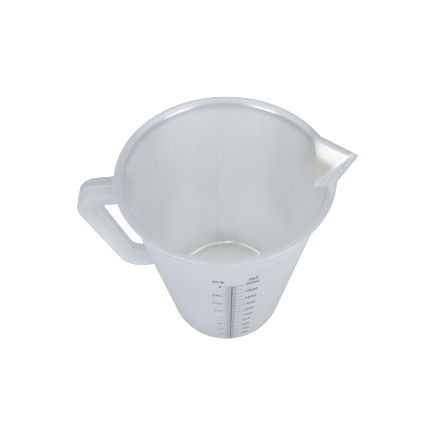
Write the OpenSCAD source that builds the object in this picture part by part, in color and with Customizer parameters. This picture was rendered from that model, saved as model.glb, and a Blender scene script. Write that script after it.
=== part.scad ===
// Graduated two-litre pouring beaker: a tapered translucent plastic jug with a
// flared lip, a V-shaped pouring spout, a closed side handle, a printed
// graduation on the front and a raised moulded graduation on the back.
//
// Frame: millimetres, +Z up, z = 0 on the standing face, Z axis through the
// centre of the base. +X points out through the spout, the handle is on -X,
// the printed scale is on the -Y side and the moulded scale on the +Y side.
//
// Short name endings: _r radius, _d diameter, _w width, _h height,
// _t thickness, _ro and _ri outer and inner radius, _az direction in degrees.

/* [Vessel] */
// Overall height from standing face to lip
height = 200; // [190:1:210]
// Outer diameter of the flared lip
rim_d = 149; // [149:0.5:152]
// Outer diameter of the tapered wall, extended down to the standing face
base_d = 127; // [124:1:128]
// Gain of radius for each millimetre of height (mould draft)
draft = 0.0361; // [0.033:0.001:0.038]
// Thickness of the moulded wall
wall_t = 2.0; // [1.7:0.1:2.3]

/* [Lip] */
// Inside radius of the outward roll of the lip
lip_roll_r = 6; // [5:0.5:6]
// Angle the lip leans out from vertical at its edge
lip_lean = 75; // [65:1:80]

/* [Base] */
// Outer radius of the raised middle of the floor
floor_step_r = 50; // [46:1:53]
// Thickness of the floor
floor_t = 2.2; // [1.8:0.1:2.6]
// Height of the floor's raised middle over its rim channel
floor_step_h = 2.2; // [1.8:0.1:2.6]
// Height of the band in which foot and wall are joined
foot_h = 7; // [6.5:0.5:9]

/* [Spout] */
// Distance from the axis to the inside of the spout's tip
spout_reach = 89.2; // [86:0.2:94]
// Half of the angle the spout's mouth takes out of the lip
spout_half_angle = 13.4; // [12.4:0.2:15]
// Depth of the spout's valley below the lip, at the wall
spout_depth = 32; // [28:0.5:36]

/* [Handle] */
// Width of the handle across its grip
handle_w = 20.5; // [18:0.5:22]
// Thickness of the handle
handle_t = 10.8; // [9.8:0.1:11]
// Height of the upper arm's centre line
arm_top_z = 184.8; // [182:0.1:184.8]
// Height of the lower arm's centre line
arm_low_z = 90.4; // [85:0.2:95]
// Distance of the grip's centre line from the axis, half way down
grip_x = 96; // [95:0.5:99]
// Lean of the grip towards the vessel, in degrees
grip_lean = 8.7; // [7:0.1:10]
// Centre line radius of the upper bend
bend_top_r = 11.8; // [10.6:0.2:13]
// Centre line radius of the lower bend
bend_low_r = 15; // [12:0.5:16]

/* [Printed scale] */
// Direction of the printed scale round the vessel
print_az = -91.75; // [-95:0.25:-85]
// Thickness of the ink film
ink_t = 0.12; // [0.1:0.01:0.25]
// Width of the upright line
spine_w = 0.7; // [0.5:0.1:1.2]
// Thickness of a fine graduation line
tick_h = 0.25; // [0.2:0.05:0.5]
// Height of the printed figures
digit_h = 3.5; // [3:0.1:4]

/* [Moulded scale] */
// Direction of the moulded scale round the vessel
mould_az = 91.75; // [85:0.25:95]
// Height of the raised relief
relief_t = 0.4; // [0.3:0.05:0.6]
// Height of the raised figures
relief_digit_h = 5; // [4:0.25:6]

/* [Hidden] */
$fn = 96;

plastic = [0.86, 0.88, 0.89, 0.75];
plastic_thick = [0.80, 0.82, 0.83, 0.85];
floor_tint = [0.80, 0.81, 0.78, 0.8];
ink = [0.16, 0.16, 0.45];

// Points of an elliptical arc, in the given number of steps
function arc_pts(centre, rx, ry, from, to, steps = 7) = [for (i = [0:steps])
    let (a = from + (to - from) * i / steps)
    centre + [rx * cos(a), ry * sin(a)]];

// ---- taper ----
base_ro = base_d / 2;
base_ri = base_ro - wall_t;
rim_r = rim_d / 2;
draft_deg = atan(draft);
function ro(z) = base_ro + draft * z;
function ri(z) = base_ri + draft * z;

// ---- lip profile ----
// The inner line runs up the taper to lip_z0, round the roll, then straight
// for lip_flat to the rounded edge. Taper and straight together gain lip_run
// in radius and lip_rise in height, which fixes both lengths.
lean_cos = cos(lip_lean);
lean_sin = sin(lip_lean);
lip_run = rim_r - wall_t / 2 * (1 + lean_cos) - base_ri
    - lip_roll_r * (cos(draft_deg) - lean_cos);
lip_rise = height - lip_roll_r * (lean_sin - sin(draft_deg))
    - wall_t / 2 * (1 - lean_sin);
lip_z0 = (lip_rise - lean_cos / lean_sin * lip_run)
    / (1 - draft * lean_cos / lean_sin);
lip_flat = (lip_run - draft * lip_z0) / lean_sin;
lip_overlap = 3.5;  // height of plain taper kept below the roll
lip_foot = lip_z0 - lip_overlap;
lip_steps = 9;
lip_centre = [ri(lip_z0) + lip_roll_r * cos(draft_deg),
    lip_z0 - lip_roll_r * sin(draft_deg)];
function lip_arc(r) =
    arc_pts(lip_centre, -r, r, draft_deg, lip_lean, lip_steps);
lip_in = lip_arc(lip_roll_r);
lip_out = lip_arc(lip_roll_r - wall_t);
lip_along = [lean_sin, lean_cos];
lip_across = [lean_cos, -lean_sin];
lip_edge_centre = lip_in[lip_steps] + lip_flat * lip_along
    + wall_t / 2 * lip_across;
lip_edge = [for (a = [0:30:180])
    lip_edge_centre + wall_t / 2 * (sin(a) * lip_along - cos(a) * lip_across)];

space_over = 5;  // how far the trimming solids pass the vessel's ends
space_top = height + space_over;

// Everything inside the jug's inner surface, as one turned solid
module inner_space() {
    rotate_extrude()
        polygon(concat([[0, -space_over], [ri(-space_over), -space_over]],
            lip_in, [lip_edge[0]],
            [[lip_edge[0][0], space_top], [0, space_top]]));
}

// Everything inside the tapered outer surface
module outer_space() {
    rotate_extrude()
        polygon([[0, -space_over], [ro(-space_over), -space_over],
            [ro(space_top), space_top], [0, space_top]]);
}

// ---- spout ----
// Two inner planes, one on each side, meet in the valley line from
// valley_foot on the wall to valley_tip. Each also passes through its corner
// of the mouth. Their normals point into the hollow.
mouth_inset = 0.4;  // distance of the mouth's corners inside the rim
valley_foot = [ri(height - spout_depth), 0, height - spout_depth];
valley_tip = [spout_reach, 0, height];
mouth_corner = [(rim_r - mouth_inset) * cos(spout_half_angle),
    (rim_r - mouth_inset) * sin(spout_half_angle), height];
valley = valley_tip - valley_foot;
valley_dir = valley / norm(valley);
side_cross = cross(valley, mouth_corner - valley_foot);
normal_pos_y = side_cross / norm(side_cross);
normal_neg_y = [normal_pos_y[0], -normal_pos_y[1], normal_pos_y[2]];

keel_factor = 1.06;     // keel's flat below the valley, in wall thicknesses
spout_trim_over = 10;   // how far the cut through wall and lip passes the top
half_space_size = 400;

// Boxes that bound the spout's hollow and its solid
hollow_corner = [30, -60, height - 70];
hollow_size = [80, 120, 90];
block_depth = 60;
block_corner = [46, -44, height - block_depth];
block_plan = [54, 88];

// Half space that starts at the point and lies on the side of the normal
module half_space(point, normal) {
    translate(point)
        rotate([0, acos(normal[2]), atan2(normal[1], normal[0])])
            translate([-half_space_size / 2, -half_space_size / 2, 0])
                cube([half_space_size, half_space_size, half_space_size]);
}

// V trough between the two spout planes
module spout_hollow() {
    intersection() {
        translate(hollow_corner)
            cube(hollow_size);
        half_space(valley_foot, normal_pos_y);
        half_space(valley_foot, normal_neg_y);
    }
}

// Solid the spout's walls are left from: one wall thickness bigger than the
// hollow, with the keel cut flat
module spout_block(top) {
    intersection() {
        translate(block_corner)
            cube([block_plan[0], block_plan[1], block_depth + top - height]);
        half_space(valley_foot - wall_t * normal_pos_y, normal_pos_y);
        half_space(valley_foot - wall_t * normal_neg_y, normal_neg_y);
        half_space(valley_foot
            + wall_t * keel_factor * [valley_dir[2], 0, -valley_dir[0]],
            [-valley_dir[2], 0, valley_dir[0]]);
    }
}

// ---- vessel ----
module vessel_wall() {
    color(plastic)
        difference() {
            rotate_extrude()
                polygon([[ri(foot_h), foot_h], [ro(foot_h), foot_h],
                    [ro(lip_foot), lip_foot], [ri(lip_foot), lip_foot]]);
            spout_block(height + spout_trim_over);
        }
}

module rim_lip() {
    color(plastic)
        difference() {
            rotate_extrude()
                polygon(concat([[ri(lip_foot), lip_foot]], lip_in, lip_edge,
                    [for (i = [lip_steps:-1:0]) lip_out[i]],
                    [[ro(lip_foot), lip_foot]]));
            spout_block(height + spout_trim_over);
        }
}

module pouring_spout() {
    color(plastic)
        difference() {
            spout_block(height);
            inner_space();
            spout_hollow();
        }
}

foot_r = 1.8;       // rounding of the outer bottom corner
fillet_r = 4;       // rounding between the channel and the wall, inside
step_run = 1.6;     // radial run of the slope up to the raised middle
foot_centre = [ro(foot_r) - foot_r, foot_r];
fillet_centre = [ri(floor_t + fillet_r) - fillet_r, floor_t + fillet_r];
floor_disc_r = floor_step_r - step_run;
floor_top = floor_t + floor_step_h;

// Standing ring, rounded outer corner, channel round the floor and the lower
// end of the wall
module foot_ring() {
    color(plastic)
        rotate_extrude()
            polygon(concat(
                [[floor_disc_r, 0]],
                arc_pts(foot_centre, foot_r, foot_r, -90, 0, 5),
                [[ro(foot_h), foot_h], [ri(foot_h), foot_h]],
                arc_pts(fillet_centre, fillet_r, fillet_r, 0, -90, 6),
                [[floor_step_r + step_run, floor_t],
                    [floor_step_r, floor_top],
                    [floor_disc_r, floor_top]]));
}

// Raised middle of the floor
module base_floor() {
    color(floor_tint)
        translate([0, 0, floor_t])
            cylinder(h = floor_step_h, r = floor_disc_r);
}

// ---- handle ----
// The handle's middle plane is drawn in XY and turned upright, so local x is
// the vessel's x and local y is the vessel's z. The arms start inside the
// vessel and are trimmed to its outer surface.
section_corner_r = 2.6;
arm_top_start_x = -60;
arm_low_start_x = -55;
grip_dir = [sin(grip_lean), -cos(grip_lean)];
grip_mid_z = (arm_top_z + arm_low_z) / 2;

// Where the centre lines of arm and grip would meet
meet_top = [-grip_x - (arm_top_z - grip_mid_z) * tan(grip_lean), arm_top_z];
meet_low = [-grip_x + (grip_mid_z - arm_low_z) * tan(grip_lean), arm_low_z];

// Turn of each bend, and the tangent length it takes from arm and grip
turn_top = 90 + grip_lean;
turn_low = 90 - grip_lean;
tangent_top = bend_top_r * tan(turn_top / 2);
tangent_low = bend_low_r * tan(turn_low / 2);
arm_top_end = meet_top + [tangent_top, 0];
grip_top = meet_top + tangent_top * grip_dir;
grip_low = meet_low - tangent_low * grip_dir;
arm_low_end = meet_low + [tangent_low, 0];

// Rounded section: handle_t in the bend plane, handle_w across it
module handle_section() {
    square([handle_t - 2 * section_corner_r, handle_w], center = true);
    square([handle_t, handle_w - 2 * section_corner_r], center = true);
    for (i = [-1, 1], j = [-1, 1])
        translate([i * (handle_t / 2 - section_corner_r),
            j * (handle_w / 2 - section_corner_r)])
            circle(r = section_corner_r, $fn = 48);
}

module handle_bar(start, end) {
    run = end - start;
    translate([start[0], start[1], 0])
        rotate([0, 0, atan2(run[1], run[0])])
            rotate([90, 0, 90])
                linear_extrude(norm(run))
                    handle_section();
}

module handle_bend(centre, r, from, turn) {
    translate([centre[0], centre[1], 0])
        rotate([0, 0, from])
            rotate_extrude(angle = turn)
                translate([r, 0])
                    handle_section();
}

module upright() {
    rotate([90, 0, 0]) children();
}

module handle_upper_arm() {
    color(plastic_thick)
        difference() {
            upright()
                union() {
                    handle_bar([arm_top_start_x, arm_top_z], arm_top_end);
                    handle_bend(arm_top_end - [0, bend_top_r], bend_top_r,
                        90, turn_top);
                }
            outer_space();
        }
}

module handle_grip() {
    color(plastic_thick)
        upright() handle_bar(grip_top, grip_low);
}

module handle_lower_arm() {
    color(plastic_thick)
        difference() {
            upright()
                union() {
                    handle_bend(arm_low_end + [0, bend_low_r], bend_low_r,
                        270, -turn_low);
                    handle_bar([arm_low_start_x, arm_low_z], arm_low_end);
                }
            outer_space();
        }
}

// ---- marks on the wall ----
// Places along the wall are arc lengths in mm from the direction az, positive
// to the right as seen from outside.
function arc_deg(arc, z) = arc / ro(z) * 180 / PI;

// Solid volume taken out of the taper by the floor, with an allowance
floor_allowance = 1500;
floor_solid = PI * (pow(floor_step_r, 2) * floor_top
    + (pow(base_ri, 2) - pow(floor_step_r, 2)) * floor_t) + floor_allowance;

// Height of a mark on either scale. The taper holds
// PI * (ri(z)^3 - base_ri^3) / (3 * draft) up to z, solved here for z.
function level(ml) =
    (pow(3 * draft * (ml * 1000 + floor_solid) / PI + pow(base_ri, 3), 1 / 3)
        - base_ri) / draft;

// Band of thickness t on the taper, between two arcs and two heights
module wall_band(az, arc0, arc1, z0, z1, t) {
    mid_z = (z0 + z1) / 2;
    rotate([0, 0, az + arc_deg(arc0, mid_z)])
        rotate_extrude(angle = arc_deg(arc1 - arc0, mid_z))
            polygon([[ro(z0), z0], [ro(z0) + t, z0], [ro(z1) + t, z1],
                [ro(z1), z1]]);
}

// Graduation line of height h, centred on the level of ml
module wall_tick(az, ml, arc0, arc1, h, t) {
    wall_band(az, arc0, arc1, level(ml) - h / 2, level(ml) + h / 2, t);
}

// ---- figures drawn as pen strokes in a cell 1.6 high ----
// Digits are 1 wide. Each figure is a list of strokes.
cell_h = 1.6;

GLYPH_0 = [arc_pts([0.5, 0.8], 0.38, 0.7, -2, 182, 9),
    arc_pts([0.5, 0.8], 0.38, 0.7, 178, 362, 9)];
GLYPH_1 = [[[0.22, 1.22], [0.52, 1.5], [0.52, 0]]];
GLYPH_2 = [concat(arc_pts([0.5, 1.08], 0.37, 0.42, 165, -38), [[0.14, 0.1]]),
    [[0.02, 0.1], [0.92, 0.1]]];
GLYPH_3 = [arc_pts([0.46, 1.13], 0.35, 0.37, 150, -92),
    arc_pts([0.46, 0.46], 0.39, 0.38, 92, -150)];
GLYPH_4 = [[[0.66, 0], [0.66, 1.58]], [[0.68, 1.5], [0.06, 0.44]],
    [[0.02, 0.46], [0.96, 0.46]]];
GLYPH_5 = [[[0.88, 1.5], [0.2, 1.5]], [[0.2, 1.58], [0.14, 0.72]],
    arc_pts([0.46, 0.5], 0.4, 0.42, 140, -145)];
GLYPH_6 = [arc_pts([0.5, 0.48], 0.38, 0.4, -2, 182),
    arc_pts([0.5, 0.48], 0.38, 0.4, 178, 362),
    concat([[0.12, 0.46]], arc_pts([0.78, 0.62], 0.62, 0.9, 170, 100, 5))];
GLYPH_7 = [[[0.06, 1.5], [0.96, 1.5]], [[0.86, 1.55], [0.36, 0]]];
GLYPH_8 = [arc_pts([0.5, 1.16], 0.32, 0.35, -92, 92),
    arc_pts([0.5, 1.16], 0.32, 0.35, 88, 272),
    arc_pts([0.5, 0.45], 0.38, 0.37, -92, 92),
    arc_pts([0.5, 0.45], 0.38, 0.37, 88, 272)];
GLYPH_SLASH = [[[0.1, -0.05], [0.8, 1.65]]];
GLYPH_M = [[[0.05, 0], [0.05, 1]],
    arc_pts([0.3, 0.62], 0.25, 0.32, 185, 0, 6),
    [[0.55, 0.66], [0.55, 0]],
    arc_pts([0.8, 0.62], 0.25, 0.32, 180, 0, 6),
    [[1.05, 0.66], [1.05, 0]]];
GLYPH_L = [[[0.1, 0], [0.1, 1.6]]];
GLYPH_I = [[[0.1, 0], [0.1, 1]], [[0.1, 1.25], [0.1, 1.5]]];
GLYPH_T = [[[0.3, 1.45], [0.3, 0.25]],
    arc_pts([0.52, 0.27], 0.22, 0.2, 180, 285, 4),
    [[0, 0.98], [0.62, 0.98]]];
GLYPH_R = [[[0.1, 0], [0.1, 1]],
    arc_pts([0.45, 0.55], 0.35, 0.38, 170, 70, 4)];
GLYPH_E = [[[0.1, 0.5], [0.85, 0.5]],
    arc_pts([0.475, 0.5], 0.375, 0.45, 0, 182, 7),
    arc_pts([0.475, 0.5], 0.375, 0.45, 178, 320, 7)];
// By value; no number on the vessel has a 9
DIGITS = [GLYPH_0, GLYPH_1, GLYPH_2, GLYPH_3, GLYPH_4, GLYPH_5, GLYPH_6,
    GLYPH_7, GLYPH_8];

function unit(v) = v / norm(v);
function perp(v) = [-v[1], v[0]];

// Mitred points along one side of a stroke; a negative width gives the other
function side(pts, w) = [for (i = [0:len(pts) - 1])
    let (before = unit(pts[max(i, 1)] - pts[max(i, 1) - 1]),
        next = min(i, len(pts) - 2) + 1,
        after = unit(pts[next] - pts[next - 1]),
        mitre = unit(perp(before) + perp(after)))
    pts[i] + mitre * w / 2 / (mitre * perp(before))];

module stroke(pts, w) {
    right = side(pts, -w);
    polygon(concat(side(pts, w), [for (i = [len(right) - 1:-1:0]) right[i]]));
}

// Flat figure of height h, t thick, centred on the arc with its foot at z.
// cell_w is its width in cell units, pen its line width as a share of h.
module wall_glyph(az, arc, z, t, strokes, h, cell_w, pen) {
    scaling = h / cell_h;
    rotate([0, 0, az + arc_deg(arc, z)])
        translate([ro(z), 0, z])
            rotate([0, draft_deg, 0])
                rotate([90, 0, 90])
                    linear_extrude(t)
                        translate([-cell_w * scaling / 2, 0])
                            for (pts = strokes)
                                stroke([for (p = pts) scaling * p], pen * h);
}

// Decimal digits of a whole number, most significant first
function digits_of(n) = n < 10 ? [n]
    : concat(digits_of(floor(n / 10)), [n % 10]);

// A number whose figures run to the right from the arc, one for each pitch
module wall_number(az, n, arc, z, h, pitch, t, pen) {
    digits = digits_of(n);
    for (i = [0:len(digits) - 1])
        wall_glyph(az, arc + pitch * (i + 0.5), z, t, DIGITS[digits[i]], h, 1,
            pen);
}

// ---- printed scale: millilitres on the right, litres on the left ----
first_ml = 60;
last_ml = 2000;
line_tail = 1.5;                    // upright line below the first mark
tick_start = spine_w / 2 + 0.12;    // ticks stand clear of the upright line
fine_tick_end = 3.2;
digit_pen = 0.16;

module print_scale_spine() {
    color(ink)
        wall_band(print_az, -spine_w / 2, spine_w / 2,
            level(first_ml) - line_tail, level(last_ml) + tick_h / 2, ink_t);
}

// Ticks of the millilitre side, from the upright line out to the given arc
module ml_ticks(marks, end, h) {
    for (ml = marks)
        wall_tick(print_az, ml, tick_start, end, h, ink_t);
}

// Ticks of the litre side
module litre_tick(ml, end) {
    wall_tick(print_az, ml, -end, -tick_start, tick_h, ink_t);
}

module print_ml_fine_ticks() {
    color(ink)
        ml_ticks([for (ml = [first_ml:20:last_ml]) if (ml % 100 != 0) ml],
            fine_tick_end, tick_h);
}

module print_ml_mid_ticks() {
    color(ink)
        ml_ticks([100:200:1900], 7.6, tick_h);
}

module print_ml_major_ticks() {
    color(ink)
        ml_ticks([200:200:last_ml], 9, tick_h * 1.25);
}

module print_ml_numerals() {
    lift = 0.2;
    pitch = 2.42;
    color(ink)
        for (ml = [200:200:last_ml])
            wall_number(print_az, ml, ml < 1000 ? 10.7 : 9.3,
                level(ml) + lift, digit_h, pitch, ink_t, digit_pen);
}

// Unit name, lifted over the last mark. Letters: [strokes, cell width, arc, pen]
module print_unit(letters, lift, h) {
    for (letter = letters)
        wall_glyph(print_az, letter[2], level(last_ml) + lift, ink_t,
            letter[0], h, letter[1], letter[3]);
}

module print_ml_unit() {
    color(ink)
        print_unit([[GLYPH_M, 1.1, 13.3, 0.15], [GLYPH_L, 0.2, 16.6, 0.17]],
            lift = 6.6, h = 5);
}

module print_litre_fine_ticks() {
    color(ink)
        for (ml = [75:25:1975])
            if (ml % 50 != 0)
                litre_tick(ml, fine_tick_end);
}

module print_litre_major_ticks() {
    color(ink)
        for (ml = [100:50:last_ml])
            litre_tick(ml, ml % 250 == 0 || ml % 100 == 0 ? 6.4 : 4.6);
}

// Numerator and denominator for 0 to 3 quarters
QUARTERS = [[0, 0], [1, 4], [1, 2], [3, 4]];

// Whole litres, where there are any, followed by a fraction for the quarters
module litre_mark(ml) {
    z = level(ml) - digit_h / 2;
    small_h = digit_h * 0.72;
    small_pen = 0.18;
    slash_pen = 0.12;
    whole = floor(ml / 1000);
    fraction = QUARTERS[ml % 1000 / 250];
    has_fraction = fraction[0] > 0;
    if (whole > 0)
        wall_glyph(print_az, has_fraction ? -13.4 : -8.2, z, ink_t,
            DIGITS[whole], digit_h, 1, digit_pen);
    if (has_fraction) {
        wall_glyph(print_az, -11.3, z + digit_h - small_h, ink_t,
            DIGITS[fraction[0]], small_h, 1, small_pen);
        wall_glyph(print_az, -9.75, z, ink_t, GLYPH_SLASH, digit_h, 0.9,
            slash_pen);
        wall_glyph(print_az, -8.15, z, ink_t, DIGITS[fraction[1]], small_h, 1,
            small_pen);
    }
}

module print_litre_numerals() {
    color(ink)
        for (ml = [250:250:last_ml])
            litre_mark(ml);
}

module print_litre_unit() {
    color(ink)
        print_unit([[GLYPH_L, 0.2, -12.6, 0.17], [GLYPH_I, 0.2, -11.6, 0.17],
            [GLYPH_T, 0.7, -10.3, 0.17], [GLYPH_R, 0.8, -8.5, 0.17],
            [GLYPH_E, 0.95, -6.5, 0.17]],
            lift = 6.8, h = 3.4);
}

// ---- moulded scale, raised on the outside of the back ----
relief_line_w = 0.9;
relief_tick_start = 0.6;
relief_tick_h = 0.6;

module moulded_scale_line() {
    color(plastic)
        wall_band(mould_az, -relief_line_w / 2, relief_line_w / 2,
            level(first_ml) - line_tail, level(last_ml) + relief_tick_h / 2,
            relief_t);
}

module moulded_scale_ticks() {
    color(plastic)
        for (ml = [100:100:last_ml])
            wall_tick(mould_az, ml, relief_tick_start,
                ml % 200 == 0 ? 8 : 4.5, relief_tick_h, relief_t);
}

module moulded_scale_numerals() {
    pitch = 3.4;
    pen = 0.15;
    color(plastic)
        for (ml = [200:200:last_ml])
            wall_number(mould_az, ml, ml < 1000 ? 12.4 : 9,
                level(ml) - relief_digit_h / 2, relief_digit_h, pitch,
                relief_t, pen);
}

vessel_wall();
base_floor();
foot_ring();
rim_lip();
pouring_spout();
handle_upper_arm();
handle_grip();
handle_lower_arm();
print_scale_spine();
print_ml_fine_ticks();
print_ml_mid_ticks();
print_ml_major_ticks();
print_ml_numerals();
print_ml_unit();
print_litre_fine_ticks();
print_litre_major_ticks();
print_litre_numerals();
print_litre_unit();
moulded_scale_line();
moulded_scale_ticks();
moulded_scale_numerals();
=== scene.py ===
"""Translucent polypropylene measuring jug with printed and moulded graduations.

It stands on z = 0 with its axis on Z. The spout points to +X, the handle's
loop to -X, and the camera looks down from the front, at -Y. Mesh dimensions
are in millimetres, and shader, light and camera positions in metres.
"""
import math
from functools import reduce
from types import SimpleNamespace
import bmesh
import bpy
import numpy as np
from mathutils import Matrix, Vector


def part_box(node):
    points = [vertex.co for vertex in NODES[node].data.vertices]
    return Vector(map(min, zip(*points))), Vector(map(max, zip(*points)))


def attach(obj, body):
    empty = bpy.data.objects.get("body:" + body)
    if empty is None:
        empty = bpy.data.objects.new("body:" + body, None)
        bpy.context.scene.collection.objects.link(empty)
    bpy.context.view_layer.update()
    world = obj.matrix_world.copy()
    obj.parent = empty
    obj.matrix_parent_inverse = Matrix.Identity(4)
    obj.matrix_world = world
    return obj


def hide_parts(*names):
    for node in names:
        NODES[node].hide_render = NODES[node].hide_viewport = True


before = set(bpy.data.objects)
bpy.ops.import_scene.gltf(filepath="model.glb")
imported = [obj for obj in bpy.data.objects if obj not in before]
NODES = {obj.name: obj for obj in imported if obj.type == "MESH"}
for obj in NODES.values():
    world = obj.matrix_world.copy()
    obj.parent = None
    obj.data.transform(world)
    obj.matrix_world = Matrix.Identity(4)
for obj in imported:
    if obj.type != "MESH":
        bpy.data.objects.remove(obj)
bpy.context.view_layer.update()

MM = 0.001
BLACK = (0.0, 0.0, 0.0)
WHITE = (1.0, 1.0, 1.0)

# --------------------------------------------------------------------------
# Dimensions, in millimetres, read from the frame's own pieces
# --------------------------------------------------------------------------


def box_mm(name):
    low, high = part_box(name)
    return np.array(low) * 1000.0, np.array(high) * 1000.0


def turned_radius_mm(name, z=None):
    """Largest radius of a turned piece, over all of it or at one height."""
    points = np.array([v.co for v in NODES[name].data.vertices], float) * 1000.0
    if z is not None:
        points = points[np.abs(points[:, 2] - z) < 0.05]
    return float(np.hypot(points[:, 0], points[:, 1]).max())


floor_low, floor_high = box_mm("base_floor")

WALL_T = 2.0
HEIGHT = float(box_mm("rim_lip")[1][2])
RIM_R = turned_radius_mm("rim_lip")
FOOT_H = float(box_mm("foot_ring")[1][2])
WALL_TOP = float(box_mm("vessel_wall")[1][2])
FOOT_TOP_R = turned_radius_mm("vessel_wall", FOOT_H)
DRAFT = (turned_radius_mm("vessel_wall", WALL_TOP) - FOOT_TOP_R) / (WALL_TOP - FOOT_H)
DRAFT_ANGLE = math.atan(DRAFT)
BASE_OUTER_R = FOOT_TOP_R - DRAFT * FOOT_H  # the wall's cones, run down to z = 0
BASE_INNER_R = BASE_OUTER_R - WALL_T
DISC_R = turned_radius_mm("base_floor")
DISC_LOW = float(floor_low[2])
DISC_HIGH = float(floor_high[2])


def outer_r(z):
    return BASE_OUTER_R + DRAFT * z


def inner_r(z):
    return BASE_INNER_R + DRAFT * z


# --------------------------------------------------------------------------
# Shader graphs
# --------------------------------------------------------------------------


class Graph:
    """An emptied node tree, with short calls for the nodes used here."""

    def __init__(self, tree):
        self.tree = tree
        tree.nodes.clear()

    def feed(self, socket, value):
        """Link a socket's output to an input, or set the input's value."""
        if isinstance(value, bpy.types.NodeSocket):
            self.tree.links.new(value, socket)
        elif socket.type == "RGBA":
            socket.default_value = (*value, 1.0)
        else:
            socket.default_value = value

    def add(self, kind, **inputs):
        node = self.tree.nodes.new("ShaderNode" + kind)
        for name, value in inputs.items():
            self.feed(node.inputs[name.replace("_", " ")], value)
        return node

    def math(self, operation, *values, clamp=False):
        node = self.add("Math")
        node.operation = operation
        node.use_clamp = clamp
        for socket, value in zip(node.inputs, values):
            self.feed(socket, value)
        return node.outputs[0]

    def product(self, *factors):
        return reduce(lambda a, b: self.math("MULTIPLY", a, b), factors)

    def one_minus(self, value):
        return self.math("SUBTRACT", 1.0, value)

    def span(self, value, start, end, low=0.0, high=1.0, smooth=False):
        """Map start..end to low..high; start may be the larger."""
        node = self.add("MapRange", Value=value, From_Min=start, From_Max=end,
                        To_Min=low, To_Max=high)
        if smooth:
            node.interpolation_type = "SMOOTHSTEP"
        return node.outputs[0]

    def ramp(self, value, start, end, low=BLACK, high=WHITE):
        node = self.add("ValToRGB", Fac=value)
        first, last = node.color_ramp.elements
        first.position = start
        first.color = (*low, 1.0)
        last.position = end
        last.color = (*high, 1.0)
        return node.outputs["Color"]

    def noise(self, coord, scale, detail, roughness=0.5, stretch=None):
        if stretch is not None:
            coord = self.add("Mapping", Vector=coord, Scale=stretch).outputs["Vector"]
        return self.add("TexNoise", Vector=coord, Scale=scale, Detail=detail,
                        Roughness=roughness).outputs["Fac"]

    def mix(self, amount, a, b, mode="MIX"):
        node = self.add("Mix")
        node.data_type = "RGBA"
        node.blend_type = mode
        # a Mix node's factor and its two colours sit at inputs 0, 6 and 7
        for index, value in ((0, amount), (6, a), (7, b)):
            self.feed(node.inputs[index], value)
        return node.outputs[2]

    def tint(self, colour, amount, by):
        return self.mix(amount, colour, by, "MULTIPLY")

    def bump(self, height, strength, distance, invert=False, **normal):
        node = self.add("Bump", Height=height, Strength=strength,
                        Distance=distance, **normal)
        node.invert = invert
        return node.outputs["Normal"]

    def mix_shader(self, amount, a, b):
        node = self.add("MixShader")
        for socket, value in zip(node.inputs, (amount, a, b)):
            self.feed(socket, value)
        return node.outputs[0]


def new_material(name):
    material = bpy.data.materials.new(name)
    material.use_nodes = True
    return material, Graph(material.node_tree)


# --------------------------------------------------------------------------
# Polypropylene
# --------------------------------------------------------------------------


def skin_zones(g, coord, geometry):
    """Masks for the parts of the jug's skin, from positions in metres."""
    x, y, z = g.add("SeparateXYZ", Vector=coord).outputs
    radius = g.math("SQRT", g.math("ADD", g.product(x, x), g.product(y, y)))
    normal_x = g.add("SeparateXYZ", Vector=geometry.outputs["Normal"]).outputs["X"]

    # how far a point lies outside the plain inner cone
    cone = g.math("ADD", g.product(z, DRAFT), BASE_INNER_R * MM)
    beyond_cone = g.math("SUBTRACT", radius, cone)
    off_inner = g.span(beyond_cone, start=0.0003, end=0.0009)

    # the spout's channel: faces turned to -X, outside the cone, near the top
    faces_in = g.span(normal_x, start=-0.05, end=-0.30)
    past_wall = g.span(x, start=0.0640, end=0.0660)
    aloft = g.span(z, start=0.155, end=0.175, smooth=True)
    channel = g.product(g.product(off_inner, faces_in), g.product(past_wall, aloft))

    # height plus a parabola in y, so that its levels are arched lines, used for the
    # painted shadow line in the spout's channel
    off_y = g.math("ADD", y, -0.007)
    arch = g.math("ADD", z, g.product(off_y, off_y, 42.0))

    return SimpleNamespace(
        x=x, y=y, z=z, radius=radius, arch=arch,
        off_inner=off_inner, faces_in=faces_in, channel=channel,
        outer=g.span(beyond_cone, start=0.0012, end=0.0018),
        lip=g.span(z, start=0.1905, end=0.1975, smooth=True),
        facing=g.one_minus(geometry.outputs["Backfacing"]))


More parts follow.
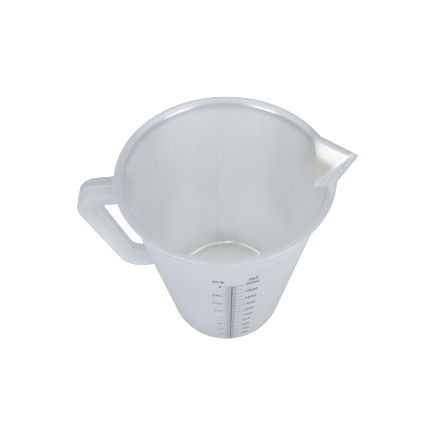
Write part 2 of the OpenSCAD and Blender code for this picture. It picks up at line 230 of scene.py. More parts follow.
def shade_zones(g, zone, colour, warm):
    """Tint the body colour zone by zone, almost all of it painted shade, shadow and
    light.
    """
    x, y, z, radius = zone.x, zone.y, zone.z, zone.radius
    channel = zone.channel

    low = g.span(z, start=0.060, end=0.004, smooth=True)
    lip_front = g.span(y, start=-0.020, end=-0.066, low=1.0, high=0.62)
    away_from_spout = g.span(x, start=0.014, end=0.048, low=1.0, high=0.0,
                             smooth=True)
    wide = g.span(g.math("ABSOLUTE", x), start=0.030, end=0.060, smooth=True)
    tall = g.span(z, start=0.070, end=0.130, smooth=True)
    upper = g.span(z, start=0.105, end=0.170, smooth=True)
    far_half = g.span(y, start=0.0020, end=0.0030)
    near_half = g.span(y, start=0.0014, end=0.0004)
    deep = g.span(zone.arch, start=0.1946, end=0.1932)
    deeper = g.span(zone.arch, start=0.1925, end=0.1800)
    spout_out = g.span(x, start=0.0670, end=0.0705)
    spout_top = g.span(z, start=0.1982, end=0.1992)
    ring_inside = g.span(radius, start=0.0500, end=0.0508)
    ring_outside = g.span(radius, start=0.0595, end=0.0555)
    at_foot = g.span(z, start=0.0070, end=0.0045)
    patch_x = g.span(g.math("ABSOLUTE", g.math("ADD", x, -0.005)),
                     start=0.024, end=0.010, smooth=True)
    patch_z = g.span(z, start=0.034, end=0.010, smooth=True)
    patch_y = g.span(y, start=0.050, end=0.054)

    off_channel = g.one_minus(g.product(channel, zone.faces_in))
    tints = (  # (mask, multiplier), in the order they are laid on
        # darker and warmer towards the base
        (g.product(low, 0.35), warm),
        # painted shade on the rolled lip, less of it at the front, where the lip lies
        # in the light
        (g.product(zone.lip, lip_front, off_channel), (0.79, 0.79, 0.81)),
        # painted shade on the outer skin below the lip, fading out towards the spout,
        # where the wall lies brighter in the light
        (g.product(zone.outer, away_from_spout, zone.facing, g.one_minus(zone.lip)),
         (0.94, 0.946, 0.967)),
        # painted shade on the inner flanks, to either side, which lie darker in the
        # light
        (g.product(g.product(wide, tall),
                   g.product(zone.facing, g.one_minus(zone.off_inner))),
         (0.89, 0.885, 0.885)),
        # painted shade on the upper part of the inner wall
        (g.product(upper, zone.facing, g.one_minus(zone.off_inner)),
         (0.94, 0.935, 0.935)),
        # painted shade on the far half of the channel; below its arched line a beige
        # painted shadow of the rim, and painted light lower still
        (g.product(channel, far_half), (0.70, 0.70, 0.70)),
        (g.product(deep, channel, far_half), (0.98, 0.965, 0.895)),
        (g.product(deeper, channel, far_half), (1.30, 1.29, 1.27)),
        # painted shade on the near half of the channel, which faces away from the
        # light
        (g.product(channel, near_half), (0.93, 0.93, 0.945)),
        # painted shade along the spout's narrow top edge, less of it on the near side
        (g.product(spout_out, spout_top, g.one_minus(g.product(near_half, 0.6))),
         (0.79, 0.79, 0.81)),
        # faint painted shade, a little warmer, in the channel round the floor's disc
        (g.product(ring_inside, ring_outside, at_foot), (1.0, 1.0, 0.97)),
        # painted shade, standing in for a dark reflection, low on the back of the
        # wall
        (g.product(patch_x, patch_z, patch_y), (0.945, 0.945, 0.95)),
    )
    for mask, multiplier in tints:
        colour = g.tint(colour, mask, multiplier)
    return colour


def shade_halves(g, zone, colour, far_side_shade):
    """Painted shade on the far side of the parting crest, painted light towards the
    lower arm, and a painted highlight along the crest.
    """
    # painted shade on the side that faces away from the light
    far_side = g.span(zone.y, start=-0.0006, end=0.0010)
    colour = g.tint(colour, g.product(far_side, far_side_shade), (0.86, 0.855, 0.87))
    # painted light: paler towards the lower arm, whose faces lie brighter in the
    # light
    toward_lower_arm = g.span(zone.z, start=0.180, end=0.150)
    colour = g.tint(colour, 1.0, g.mix(toward_lower_arm, (0.98, 0.98, 0.97), (1.12, 1.12, 1.11)))
    # painted highlight along the parting crest
    parting = g.span(g.math("ABSOLUTE", zone.y), start=0.0011, end=0.0003)
    return g.mix(g.product(parting, 0.35), colour, (0.90, 0.895, 0.88))


def skin_roughness(g, zone, roughness, speck, worn, hairlines, scratch):
    rough = g.span(speck, start=0.3, end=0.7,
                   low=roughness - 0.05, high=roughness + 0.07)
    rough = g.math("ADD", rough, g.product(worn, 0.18))
    rough = g.math("ADD", rough, g.product(hairlines, 0.05 * scratch), clamp=True)
    # the brim is more matt
    brim = g.span(zone.radius, start=0.0660, end=0.0680)
    high = g.span(zone.z, start=0.1966, end=0.1978)
    return g.math("ADD", rough, g.product(brim, high, 0.30), clamp=True)


def sheen_amount(g, zone, normal, shine):
    """How much of the clear gloss shows over the milky body."""
    fresnel = g.add("Fresnel", IOR=1.50, Normal=normal).outputs[0]
    sheen = g.math("MINIMUM", g.product(fresnel, shine), 0.24)
    # the outer wall below the lip is duller
    below_lip = g.span(zone.z, start=0.190, end=0.184)
    sheen = g.product(sheen, g.one_minus(g.product(zone.outer, below_lip, 0.90)))
    # and so is the lip's front
    rubbed = g.span(zone.y, start=-0.005, end=-0.045, high=0.55)
    return g.product(sheen, g.one_minus(g.product(rubbed, zone.lip)))


def polypropylene(name, light, dark, warm, see_through, transmit, roughness,
                  streak_stretch=(1.0, 1.0, 0.07), scratch=1.0, leak=0.0,
                  far_side_shade=0.0, shine=1.8):
    """Natural polypropylene: a milky body under a satin, lightly worn skin.

    light, dark: the cloudy body's two colours
    warm: multiplier near the base
    see_through: share of the view passed straight on, met head on
    transmit: share of the body that is translucent
    leak: least share of shadow and diffuse rays passed straight on
    far_side_shade: strength of the painted shade on the far side of the handle's
    crest
    shine: strength of the gloss
    """
    material, g = new_material(name)
    coord = g.add("TexCoord").outputs["Object"]
    geometry = g.add("NewGeometry")
    zone = skin_zones(g, coord, geometry)

    blotch = g.noise(coord, scale=22.0, detail=3.0, roughness=0.55)
    streak = g.noise(coord, scale=90.0, detail=4.0, roughness=0.6,
                     stretch=streak_stretch)
    grain = g.noise(coord, scale=1900.0, detail=2.0)
    speck = g.noise(coord, scale=520.0, detail=3.0, roughness=0.6)
    wave = g.noise(coord, scale=55.0, detail=2.0, roughness=0.4,
                   stretch=(1.0, 1.0, 0.45))
    hair = g.noise(coord, scale=260.0, detail=2.0, roughness=0.7,
                   stretch=(1.0, 1.0, 0.10))
    hairlines = g.ramp(hair, start=0.655, end=0.70)

    # broad cloudiness and flow streaks, then the zones' painted shade and light
    cloud = g.ramp(blotch, start=0.32, end=0.68, low=dark, high=light)
    flow = g.ramp(streak, start=0.30, end=0.70, low=(0.93, 0.94, 0.95))
    colour = shade_zones(g, zone, g.tint(cloud, 0.30, flow), warm)
    if far_side_shade > 0.0:
        colour = shade_halves(g, zone, colour, far_side_shade)

    # edges rubbed paler, in specks
    worn = g.product(g.ramp(geometry.outputs["Pointiness"], start=0.53, end=0.61),
                     g.ramp(speck, start=0.42, end=0.62))
    colour = g.mix(g.product(worn, 0.35), colour, (0.93, 0.935, 0.94))
    rough = skin_roughness(g, zone, roughness, speck, worn, hairlines, scratch)

    # skin relief: shallow waviness, moulded grain and scratches
    wavy = g.bump(wave, strength=0.16, distance=0.0004)
    grained = g.bump(grain, strength=0.035, distance=0.0001, Normal=wavy)
    normal = g.bump(hairlines, strength=0.045 * scratch, distance=0.0001,
                    invert=True, Normal=grained)

    body = g.add("BsdfPrincipled", IOR=1.49, Specular_IOR_Level=0.03,
                 Base_Color=colour, Roughness=rough, Normal=normal)
    glow = g.add("BsdfTranslucent", Color=colour, Normal=wavy)
    clear = g.add("BsdfTransparent", Color=(0.96, 0.97, 0.97))
    milky = g.mix_shader(transmit, body.outputs[0], glow.outputs[0])

    # more of the view passes straight on where it meets the skin head on
    facing = g.add("LayerWeight", Blend=0.35).outputs["Facing"]
    through = g.span(facing, start=0.0, end=1.0,
                     low=see_through, high=see_through * 0.15)
    if leak > 0.0:
        # thick sections still hand light on to what they touch
        path = g.add("LightPath")
        spread = g.math("MAXIMUM", path.outputs["Is Shadow Ray"],
                        path.outputs["Is Diffuse Ray"])
        through = g.math("MAXIMUM", through, g.product(spread, leak))
    plastic = g.mix_shader(through, milky, clear.outputs[0])

    # clear gloss, on the outward side of the skin only
    gloss = g.add("BsdfGlossy", Color=WHITE, Roughness=rough, Normal=normal)
    outward = g.one_minus(geometry.outputs["Backfacing"])
    amount = g.product(sheen_amount(g, zone, normal, shine), outward)
    g.add("OutputMaterial", Surface=g.mix_shader(amount, plastic, gloss.outputs[0]))
    return material


# --------------------------------------------------------------------------
# Ink
# --------------------------------------------------------------------------


def ink_material(name, dark, light, worn_to):
    """Screen printed indigo: uneven film with pinholes and rubbed patches."""
    material, g = new_material(name)
    coord = g.add("TexCoord").outputs["Object"]
    film = g.noise(coord, scale=420.0, detail=4.0, roughness=0.65)
    patch = g.noise(coord, scale=60.0, detail=2.0)
    pinhole = g.noise(coord, scale=2600.0, detail=1.0)

    base = g.ramp(film, start=0.30, end=0.70, low=dark, high=light)
    rubbed = g.product(g.ramp(pinhole, start=0.60, end=0.72),
                       g.ramp(patch, start=0.35, end=0.7))
    surface = g.add("BsdfPrincipled",
                    Base_Color=g.mix(g.product(rubbed, 0.6), base, worn_to),
                    Roughness=g.span(film, start=0.3, end=0.7, low=0.42, high=0.62),
                    Normal=g.bump(film, strength=0.3, distance=0.00005))
    g.add("OutputMaterial", Surface=surface.outputs[0])
    return material


THIN_WALLED = dict(light=(0.86, 0.87, 0.88), dark=(0.825, 0.835, 0.85),
                   warm=(0.95, 0.95, 0.90))
PLASTIC = polypropylene("translucent_pp_wall", **THIN_WALLED,
                        see_through=0.06, transmit=0.68, roughness=0.17)
THICK = polypropylene("translucent_pp_handle", light=(0.71, 0.71, 0.73),
                      dark=(0.67, 0.67, 0.69), warm=WHITE,
                      see_through=0.02, transmit=0.60, roughness=0.42,
                      streak_stretch=(0.5, 1.0, 0.5), scratch=1.5, leak=0.75,
                      far_side_shade=0.75, shine=0.45)
RELIEF = polypropylene("translucent_pp_relief", **THIN_WALLED,
                       see_through=0.05, transmit=0.66, roughness=0.20, leak=0.5)
INK = ink_material("indigo_ink", dark=(0.026, 0.028, 0.085),
                   light=(0.048, 0.052, 0.130), worn_to=(0.34, 0.36, 0.46))
FIGURE_INK = ink_material("indigo_ink_figures", dark=(0.060, 0.065, 0.145),
                          light=(0.105, 0.112, 0.205), worn_to=(0.38, 0.40, 0.50))
THIN_INK = ink_material("indigo_ink_thin", dark=(0.20, 0.215, 0.32),
                        light=(0.26, 0.275, 0.38), worn_to=(0.45, 0.47, 0.55))

# --------------------------------------------------------------------------
# Mesh helpers
# --------------------------------------------------------------------------


def add_mesh(name, verts, faces, material, smooth=True):
    mesh = bpy.data.meshes.new(name)
    mesh.from_pydata([tuple(v) for v in verts], [], faces)
    mesh.validate()
    mesh.update()
    if smooth:
        mesh.polygons.foreach_set("use_smooth", [True] * len(mesh.polygons))
    mesh.materials.append(material)
    obj = bpy.data.objects.new(name, mesh)
    bpy.context.scene.collection.objects.link(obj)
    return obj


def face_outwards(obj):
    bm = bmesh.new()
    bm.from_mesh(obj.data)
    bmesh.ops.recalc_face_normals(bm, faces=bm.faces)
    bm.to_mesh(obj.data)
    bm.free()


def arc(center_x, center_z, radius, start, end, count):
    """Points from angle start to end about a centre, ends included."""
    angles = [start + (end - start) * i / count for i in range(count + 1)]
    return [(center_x + radius * math.cos(a), center_z + radius * math.sin(a))
            for a in angles]


def heights(start, stop, step):
    """Heights from start by step, up to but not including stop."""
    values = []
    z = start
    while (stop - z) * step > 0:
        values.append(z)
        z += step
    return values


# --------------------------------------------------------------------------
# The vessel: one continuous skin, foot to lip, drawn out into the spout
# --------------------------------------------------------------------------

# floor
DOME_R = 48.2         # the disc's faintly dished top
DOME_RISE = 0.25
STEP_R = DISC_R + 1.6
STEP_SLOPE = math.radians(70.0)
STEP_TOP_R = 0.75     # rounding at the step's top
STEP_BOTTOM_R = 0.6   # and at its bottom
FILLET_R = 6.2        # between floor and wall

# wall: coarse rings up to about SPOUT_FOOT, fine ones above
COARSE_STEP = 5.0
FINE_STEP = 0.8
FINE_FROM = 161.5

# foot
FOOT_ROUND_R = 1.8
RECESS_R = 0.7        # corner where the standing face turns up
RECESS_TOP_R = 0.5

# lip: a roll of the wall, a short flat and a rounded edge
ROLL_R = 6.0
OUTER_ROLL_R = ROLL_R - WALL_T
LIP_TURN = math.radians(75.0)
TURN_COS, TURN_SIN = math.cos(LIP_TURN), math.sin(LIP_TURN)
EDGE_R = WALL_T / 2
EDGE_Z = HEIGHT - EDGE_R
# the roll's start and the flat's length that bring the edge out to RIM_R
# and up to HEIGHT
lip_run = (RIM_R - EDGE_R * (1 + TURN_COS) - BASE_INNER_R
           - ROLL_R * (math.cos(DRAFT_ANGLE) - TURN_COS))
lip_rise = (HEIGHT - ROLL_R * (TURN_SIN - math.sin(DRAFT_ANGLE))
            - EDGE_R * (1 - TURN_SIN))
LIP_START = ((lip_rise - TURN_COS / TURN_SIN * lip_run)
             / (1 - DRAFT * TURN_COS / TURN_SIN))
LIP_FLAT = (lip_run - DRAFT * LIP_START) / TURN_SIN
ROLL_X = inner_r(LIP_START) + ROLL_R * math.cos(DRAFT_ANGLE)
ROLL_Z = LIP_START - ROLL_R * math.sin(DRAFT_ANGLE)
OUTER_ROLL_START = ROLL_Z + OUTER_ROLL_R * math.sin(DRAFT_ANGLE)

# spout: two mirrored planes through the valley's foot, the tip and the rim
SPOUT_DEPTH = 32.0
SPOUT_TIP_X = 89.2
SPOUT_HALF_ANGLE = math.radians(13.4)
SPOUT_RIM_R = RIM_R - 0.4
RIDGE = 0.010         # rounds the crease between the planes
SPOUT_REACH = math.radians(40)  # the spout is looked for within this azimuth
SPOUT_FLOOR = 150.0   # and above this height

spout_foot_z = HEIGHT - SPOUT_DEPTH
spout_foot = np.array([inner_r(spout_foot_z), 0.0, spout_foot_z])
spout_tip = np.array([SPOUT_TIP_X, 0.0, HEIGHT])
spout_corner = np.array([SPOUT_RIM_R * math.cos(SPOUT_HALF_ANGLE),
                         SPOUT_RIM_R * math.sin(SPOUT_HALF_ANGLE), HEIGHT])
spout_normal = np.cross(spout_tip - spout_foot, spout_corner - spout_foot)
spout_normal /= np.linalg.norm(spout_normal)
spout_level = float(spout_normal @ spout_foot)

# under side of the floor, with a ring and a stub in the middle:
# (radius, height above DISC_LOW)
UNDERSIDE = (
    (44.0, 0.0), (36.0, 0.0), (28.0, 0.0), (20.0, 0.0), (13.0, 0.0), (9.4, 0.0),
    (9.0, -0.12), (8.5, -0.35), (7.6, -0.42), (6.7, -0.35), (6.2, -0.12),
    (5.8, 0.0), (3.4, 0.0), (2.2, -0.10), (1.7, -0.55), (1.3, -0.72),
)
STUB_END = -0.75


def plane_radius(azimuth, z, offset):
    """Radius of the spout's planes, set outwards by offset."""
    across = np.sqrt(np.sin(azimuth) ** 2 + RIDGE ** 2) - RIDGE
    return ((spout_level - offset - spout_normal[2] * z)
            / (spout_normal[0] * np.cos(azimuth) + spout_normal[1] * across))


# A ring of the skin is (radius, height, offset across the wall from the
# inner face, height it takes in the spout).


def plain_rings(points, offset):
    return [(r, z, offset, z) for r, z in points]


def inside_rings():
    """Floor's upper side from the middle out, then the inner wall."""
    points = [(r, DISC_HIGH - DOME_RISE * (1 - (r / DOME_R) ** 2))
              for r in (3.0, 6.0, 10.0, 15.0, 21.0, 27.0, 33.0, 38.0, 42.0,
                        45.0, 47.0, DOME_R)]
    points += arc(STEP_R - 0.45, DISC_HIGH - STEP_TOP_R, STEP_TOP_R,
                  math.pi / 2, math.pi / 2 - STEP_SLOPE, 6)
    points += arc(STEP_R + 1.45, DISC_LOW + STEP_BOTTOM_R, STEP_BOTTOM_R,
                  -math.pi / 2 - STEP_SLOPE, -math.pi / 2, 5)
    points += [(53.6, DISC_LOW), (54.4, DISC_LOW)]
    fillet_z = DISC_LOW + FILLET_R
    points += arc(inner_r(fillet_z) - FILLET_R, fillet_z, FILLET_R,
                  -math.pi / 2, DRAFT_ANGLE, 10)
    wall = heights(fillet_z + 1.5, 160.0, COARSE_STEP)
    wall += heights(FINE_FROM, LIP_START - 0.4, FINE_STEP)
    points += [(inner_r(z), z) for z in wall]
    return plain_rings(points, 0.0)


def stretched(z, start, end):
    """Height in the spout: start..end drawn out to start..EDGE_Z."""
    return start + (z - start) / (end - start) * (EDGE_Z - start)


def lip_rings():
    """Inner roll, rounded edge past the flat, outer roll."""
    roll = arc(ROLL_X, ROLL_Z, ROLL_R, math.pi - DRAFT_ANGLE, math.pi - LIP_TURN, 14)
    roll_end_x, roll_end_z = roll[-1]
    flat_end_z = roll_end_z + LIP_FLAT * TURN_COS
    rings = [(r, z, 0.0, stretched(z, LIP_START, flat_end_z)) for r, z in roll]

    edge = arc(roll_end_x + LIP_FLAT * TURN_SIN + EDGE_R * TURN_COS,
               flat_end_z - EDGE_R * TURN_SIN, EDGE_R,
               math.pi - LIP_TURN, -LIP_TURN, 10)
    for i, (r, z) in enumerate(edge):
        turn = math.pi * i / 10
        rings.append((r, z, EDGE_R * (1 - math.cos(turn)),
                      EDGE_Z + EDGE_R * math.sin(turn)))

    outer_end = edge[-1][1]
    roll = arc(ROLL_X, ROLL_Z, OUTER_ROLL_R,
               math.pi - LIP_TURN, math.pi - DRAFT_ANGLE, 12)
    rings += [(r, z, WALL_T, stretched(z, OUTER_ROLL_START, outer_end))
              for r, z in roll]
    return rings


def outside_rings():
    """Outer wall downwards, foot, and the under side to the middle."""
    wall = heights(OUTER_ROLL_START - FINE_STEP, FINE_FROM, -FINE_STEP)
    wall += heights(158.0, 9.0, -COARSE_STEP)
    wall += [FOOT_H + 0.6, FOOT_H, FOOT_H - 0.6, 4.0]
    points = [(outer_r(z), z) for z in wall]
    points += arc(outer_r(FOOT_ROUND_R) - FOOT_ROUND_R, FOOT_ROUND_R, FOOT_ROUND_R,
                  0.0, -math.pi / 2, 8)
    points += [(58.0, 0.0), (53.0, 0.0)]
    points += arc(DISC_R + RECESS_R, RECESS_R, RECESS_R, -math.pi / 2, -math.pi, 5)
    points += arc(DISC_R - RECESS_TOP_R, DISC_LOW - RECESS_TOP_R, RECESS_TOP_R,
                  0.0, math.pi / 2, 4)
    points += [(r, DISC_LOW + z) for r, z in UNDERSIDE]
    return plain_rings(points, WALL_T)


def azimuths():
    """Azimuths in radians, closest together round the spout at 0."""
    half = [0.0]
    while half[-1] < 29.0:
        half.append(half[-1] + (0.25 if half[-1] < 2.0 else 0.5))
    while half[-1] < 179.9:
        half.append(half[-1] + 1.51)
    half[-1] = 180.0
    return np.radians(np.array([-a for a in half[-2:0:-1]] + half))


def skin_points(rings, azimuth):
    """The rings turned about Z, with the spout's planes blended in."""
    radius, height, offset, spout_height = (column[:, None]
                                            for column in np.array(rings).T)
    near = (np.abs(azimuth) < SPOUT_REACH) & (height > SPOUT_FLOOR)

    # where the spout leads, rings move to their height in the spout
    ahead = np.where(near, plane_radius(azimuth, spout_height, offset), 0.0) - radius
    share = np.where(near, 1.0 / (1.0 + np.exp(-np.clip(ahead / 0.5, -40, 40))), 0.0)
    z = height + share * (spout_height - height)

    # smooth maximum of the turned radius and the planes' radius
    plane = np.where(near, plane_radius(azimuth, z, offset), 0.0)
    ahead = plane - radius
    softness = np.where(offset > 1.0, 1.4, 0.7)
    blended = 0.5 * (radius + plane + np.sqrt(ahead * ahead + softness * softness))
    fade = np.clip((ahead + 12.0) / 6.0, 0, 1)
    r = np.where(near, radius + fade * (blended - radius), radius)
    points = np.stack([r * np.cos(azimuth), r * np.sin(azimuth), z], axis=-1)
    return points.reshape(-1, 3) * MM


def build_vessel():
    rings = inside_rings() + lip_rings() + outside_rings()
    azimuth = azimuths()[None, :]
    count = azimuth.size
    verts = skin_points(rings, azimuth)
    top = len(verts)
    bottom = top + 1
    verts = np.vstack([verts, [[0, 0, (DISC_HIGH - DOME_RISE) * MM],
                               [0, 0, (DISC_LOW + STUB_END) * MM]]])
    faces = []
    for i in range(len(rings) - 1):
        this, following = i * count, (i + 1) * count
        for j in range(count):
            k = (j + 1) % count
            faces.append((following + j, following + k, this + k, this + j))
    last = (len(rings) - 1) * count
    for j in range(count):
        k = (j + 1) % count
        faces.append((k, j, top))
        faces.append((last + j, last + k, bottom))
    obj = add_mesh("vessel_shell", verts, faces, PLASTIC)
    face_outwards(obj)
    return obj


vessel = build_vessel()
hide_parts("vessel_wall", "base_floor", "foot_ring", "rim_lip",
            "pouring_spout")
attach(vessel, "root")

# --------------------------------------------------------------------------
# The handle: one swept loop with a parting crest, flared at the wall
# --------------------------------------------------------------------------

grip_low, grip_high = box_mm("handle_grip")

HANDLE_W = float(grip_high[1] - grip_low[1])
HANDLE_T = 10.8
UPPER_Z = float(box_mm("handle_upper_arm")[1][2]) - HANDLE_T / 2
LOWER_Z = float(box_mm("handle_lower_arm")[0][2]) + HANDLE_T / 2
GRIP_LEAN = math.radians(8.7)
SINK = 1.1            # how far the arms' ends sit inside the wall's face
# distances of the stations nearest the wall from an arm's end
NEAR_WALL = [0.0, 0.5, 0.9, 1.2, 1.5, 1.9, 2.4, 3.0, 3.8, 5.0, 7.0]
ARM_FROM = 10.0       # distance at which even spacing takes over
FLARE = 2.2           # radius of the flare at the wall
FOLLOW_FULL = 2.5     # out to here sections follow the wall's curve in full,
FOLLOW_FADE = 9.5     # and over this length they straighten
CREST_DROP = 0.07     # height of the parting crest
FACE_FALL = 0.02      # slope of each face away from the crest
CORNER_R = 2.7


def line_stations(start, end, count):
    angle = math.atan2(end[1] - start[1], end[0] - start[0])
    return [(start[0] + (end[0] - start[0]) * i / count,
             start[1] + (end[1] - start[1]) * i / count, angle)
            for i in range(count + 1)]


def bend_stations(center, radius, start, end, count):
    """Stations strictly between the ends of a bend."""
    stations = []
    for i in range(1, count):
        a = start + (end - start) * i / count
        stations.append((center[0] + radius * math.cos(a),
                         center[1] + radius * math.sin(a), a + math.pi / 2))
    return stations


def handle_path():
    """Stations (x, z, direction angle) from the upper arm to the lower."""
    inset_x = HANDLE_T / 2 * math.cos(GRIP_LEAN)
    inset_z = HANDLE_T / 2 * math.sin(GRIP_LEAN)
    grip_top = np.array([grip_low[0] + inset_x, grip_high[2] - inset_z])
    grip_bottom = np.array([grip_high[0] - inset_x, grip_low[2] + inset_z])
    down = (grip_bottom - grip_top) / np.linalg.norm(grip_bottom - grip_top)

    # corners where the grip's line meets the arms, and the bends round them
    corner_top = grip_top - down * (UPPER_Z - grip_top[1]) / -down[1]
    corner_low = grip_bottom + down * (grip_bottom[1] - LOWER_Z) / -down[1]
    tangent_top = float(np.linalg.norm(grip_top - corner_top))
    tangent_low = float(np.linalg.norm(grip_bottom - corner_low))
    upper_end = corner_top + np.array([tangent_top, 0.0])
    lower_end = corner_low + np.array([tangent_low, 0.0])
    radius_top = tangent_top / math.tan((math.pi / 2 + GRIP_LEAN) / 2)
    radius_low = tangent_low / math.tan((math.pi / 2 - GRIP_LEAN) / 2)
    grip_angle = math.pi + GRIP_LEAN

    upper_x = -(outer_r(UPPER_Z) - SINK)
    lower_x = -(outer_r(LOWER_Z) - SINK)
    path = [(upper_x - d, UPPER_Z, math.pi) for d in NEAR_WALL]
    path += line_stations((upper_x - ARM_FROM, UPPER_Z), upper_end, 6)
    path += bend_stations(upper_end - np.array([0.0, radius_top]), radius_top,
                          math.pi / 2, grip_angle, 14)
    path += line_stations(grip_top, grip_bottom, 26)
    path += bend_stations(lower_end + np.array([0.0, radius_low]), radius_low,
                          grip_angle, 1.5 * math.pi, 14)
    path += line_stations(lower_end, (lower_x - ARM_FROM, LOWER_Z), 4)
    path += [(lower_x - d, LOWER_Z, 0.0) for d in NEAR_WALL[::-1]]
    return path


def handle_section():
    """Closed section (height off the path, y): shallow roofs, round corners."""
    def face_height(y):
        return HANDLE_T / 2 - CREST_DROP - FACE_FALL * y

    quarter = [(HANDLE_T / 2, 0.0), (HANDLE_T / 2 - 0.01, 0.30),
               (HANDLE_T / 2 - CREST_DROP, 0.60)]
    quarter += [(face_height(y), y) for y in (2.0, 4.0)]
    corner_y = HANDLE_W / 2 - CORNER_R
    corner_h = face_height(corner_y) - CORNER_R
    for i in range(9):
        a = math.pi / 2 * (1 - i / 8)
        quarter.append((corner_h + CORNER_R * math.sin(a),
                        corner_y + CORNER_R * math.cos(a)))
    return np.array(quarter
                    + [(-h, y) for h, y in quarter[::-1]]
                    + [(-h, -y) for h, y in quarter[1:]]
                    + [(h, -y) for h, y in quarter[:0:-1]])


def handle_points(path, section):
    along = np.roll(section, -1, 0) - np.roll(section, 1, 0)
    outward = np.stack([along[:, 1], -along[:, 0]], 1)
    outward /= np.linalg.norm(outward, axis=1)[:, None]

    points = []
    for path_x, path_z, angle in path:
        # distance outside the wall along an arm; the rest counts as far off
        on_arm = abs(path_z - UPPER_Z) < 0.01 or abs(path_z - LOWER_Z) < 0.01
        gap = -path_x - outer_r(path_z) if on_arm else 99.0
        inside = min(max(FLARE - gap, 0.0), FLARE)
        grow = FLARE - math.sqrt(FLARE ** 2 - inside ** 2)
        follow = 1.0 - min(max((gap - FOLLOW_FULL) / FOLLOW_FADE, 0.0), 1.0)
        for h, y in section + outward * grow:
            x = path_x + math.sin(angle) * h
            z = path_z - math.cos(angle) * h
            wall_x = math.sqrt(max(outer_r(z) ** 2 - y * y, 0.0))
            x += (outer_r(path_z) - wall_x) * follow
            points.append((x * MM, y * MM, z * MM))
    return points


def build_handle():
    path = handle_path()
    section = handle_section()
    count = len(section)
    last = (len(path) - 1) * count
    faces = []
    for this in range(0, last, count):
        following = this + count
        for j in range(count):
            k = (j + 1) % count
            faces.append((this + j, this + k, following + k, following + j))
    faces.append(tuple(range(count - 1, -1, -1)))
    faces.append(tuple(range(last, last + count)))
    obj = add_mesh("handle_loop", handle_points(path, section), faces, THICK)
    face_outwards(obj)
    for polygon in obj.data.polygons:
        if len(polygon.vertices) > 4:  # the two end caps
            polygon.use_smooth = False
    return obj


handle = build_handle()
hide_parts("handle_upper_arm", "handle_grip", "handle_lower_arm")
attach(handle, "root")

# --------------------------------------------------------------------------
# Pieces kept from the frame: printed and moulded graduations
# --------------------------------------------------------------------------


def graduation_material(name):
    if name.startswith("moulded_"):
        return RELIEF
    if "fine" in name:
        return THIN_INK
    return INK if "spine" in name else FIGURE_INK


for name, obj in NODES.items():
    if name.startswith(("print_", "moulded_")):
        obj.data.materials.clear()
        obj.data.materials.append(graduation_material(name))

# --------------------------------------------------------------------------
# Stage: pale floor, soft light, camera
# --------------------------------------------------------------------------

scene = bpy.context.scene
scene.view_settings.view_transform = "Standard"
scene.view_settings.look = "None"
scene.view_settings.exposure = 0.0
scene.view_settings.gamma = 1.0


def build_world():
    """White to the camera, a soft tent to the jug, a dimmer room in its gloss."""
    world = bpy.data.worlds.new("studio")
    scene.world = world
    world.use_nodes = True
    g = Graph(world.node_tree)
    path = g.add("LightPath").outputs
    direction = g.add("TexCoord").outputs["Generated"]
    x, y, z = g.add("SeparateXYZ", Vector=direction).outputs

    # the tent dims overhead, towards the back and to the sides
    overhead = g.span(z, start=0.25, end=0.95, low=1.53, high=1.13, smooth=True)
    back = g.span(y, start=-0.2, end=0.7, low=1.0, high=0.78, smooth=True)
    sides = g.span(g.math("ABSOLUTE", x), start=0.35, end=1.0, low=1.0, high=0.78)
    tent = g.add("Background", Color=(0.97, 0.985, 1.0),
                 Strength=g.product(overhead, back, sides))
    room = g.add("Background", Color=(0.97, 0.975, 1.0), Strength=0.50)
    backdrop = g.add("Background", Color=WHITE, Strength=1.0)
    lit = g.mix_shader(path["Is Glossy Ray"], tent.outputs[0], room.outputs[0])
    seen = g.mix_shader(path["Is Camera Ray"], lit, backdrop.outputs[0])
    g.add("OutputWorld", Surface=seen)


def floor_material():
    """Diffuse floor that glows to the camera and, less, in reflections."""
    material, g = new_material("pale_floor")
    path = g.add("LightPath").outputs
    diffuse = g.add("BsdfDiffuse", Color=(0.84, 0.84, 0.84))
    glow = g.add("Emission", Color=WHITE, Strength=1.0)
    mirrored = g.add("Emission", Color=WHITE, Strength=0.62)
    bright = g.add("AddShader")
    g.feed(bright.inputs[0], glow.outputs[0])
    g.feed(bright.inputs[1], diffuse.outputs[0])
    unseen = g.mix_shader(path["Is Glossy Ray"], diffuse.outputs[0],
                          mirrored.outputs[0])
    g.add("OutputMaterial",
          Surface=g.mix_shader(path["Is Camera Ray"], unseen, bright.outputs[0]))
    return material


build_world()

FLOOR_HALF = 3.0
FLOOR_Z = -0.0002
floor = add_mesh("floor",
                 [(x * FLOOR_HALF, y * FLOOR_HALF, FLOOR_Z)
                  for x, y in ((-1, -1), (1, -1), (1, 1), (-1, 1))],
                 [(0, 1, 2, 3)], floor_material(), smooth=False)

LIGHT_TARGET = Vector((0, 0, 0.12))


def area_light(name, azimuth, elevation, distance, width, height, watts):
    """A rectangle aimed at the jug; angles in degrees, lengths in metres."""
    a, e = math.radians(azimuth), math.radians(elevation)
    position = LIGHT_TARGET + distance * Vector(
        (math.cos(e) * math.cos(a), math.cos(e) * math.sin(a), math.sin(e)))
    light = bpy.data.lights.new(name, "AREA")
    light.shape = "RECTANGLE"
    light.size = width
    light.size_y = height
    light.energy = watts
    obj = bpy.data.objects.new(name, light)
    obj.location = position
    obj.rotation_euler = (LIGHT_TARGET - position).to_track_quat("-Z", "Y").to_euler()
    scene.collection.objects.link(obj)
    return obj


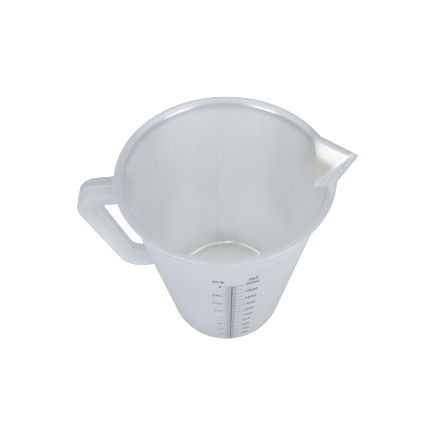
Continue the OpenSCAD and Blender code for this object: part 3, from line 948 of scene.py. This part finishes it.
# lights that only show as reflections in the skin:
# (name, azimuth, elevation, distance, width, height, watts)
MIRROR_CARDS = (
    ("window_right", -46, 18, 1.1, 0.50, 1.10, 14.0),
    ("window_left", -138, 16, 1.1, 0.48, 1.12, 14.5),
    ("overhead_right", -14, 64, 1.2, 0.40, 0.56, 6.0),
    ("overhead_left", 184, 64, 1.2, 0.40, 0.56, 6.0),
)
for card in MIRROR_CARDS:
    obj = area_light(*card)
    obj.visible_diffuse = False
    obj.visible_transmission = False

area_light("overhead_soft", azimuth=-90, elevation=82, distance=1.3,
           width=0.45, height=0.45, watts=0.7)

# a narrow spot straight down into the mouth
spot = bpy.data.lights.new("into_the_mouth", "SPOT")
spot.energy = 38.0
spot.spot_size = math.radians(5.9)
spot.spot_blend = 0.60
spot.shadow_soft_size = 0.02
spot_object = bpy.data.objects.new("into_the_mouth", spot)
spot_object.location = (0.0, 0.0, 1.30)
scene.collection.objects.link(spot_object)

CAMERA_AT = Vector((0.0, -158.91, 368.5))  # mm, before the turn about Z
CAMERA_TURN = math.radians(-5.0)
CAMERA_YAW = math.radians(-1.204)
CAMERA_PITCH = math.radians(58.775)        # downwards
CAMERA_ROLL = math.radians(-1.872)


def build_camera():
    data = bpy.data.cameras.new("camera")
    data.sensor_width = 36.0
    data.lens = 27.88469
    data.shift_x = -0.01
    data.shift_y = 0.04788506
    data.clip_start = 0.005
    camera = bpy.data.objects.new("camera", data)
    scene.collection.objects.link(camera)
    scene.camera = camera

    forward = Vector((math.sin(CAMERA_YAW) * math.cos(CAMERA_PITCH),
                      math.cos(CAMERA_YAW) * math.cos(CAMERA_PITCH),
                      -math.sin(CAMERA_PITCH)))
    level = Vector((math.cos(CAMERA_YAW), -math.sin(CAMERA_YAW), 0.0))
    upright = level.cross(forward)
    right = level * math.cos(CAMERA_ROLL) + upright * math.sin(CAMERA_ROLL)
    up = -level * math.sin(CAMERA_ROLL) + upright * math.cos(CAMERA_ROLL)
    turn = Matrix.Rotation(CAMERA_TURN, 3, "Z")
    columns = [turn @ v for v in (right, up, -forward, CAMERA_AT * MM)]
    camera.matrix_world = Matrix([[v[i] for v in columns] for i in range(3)]
                                 + [[0, 0, 0, 1]])


build_camera()

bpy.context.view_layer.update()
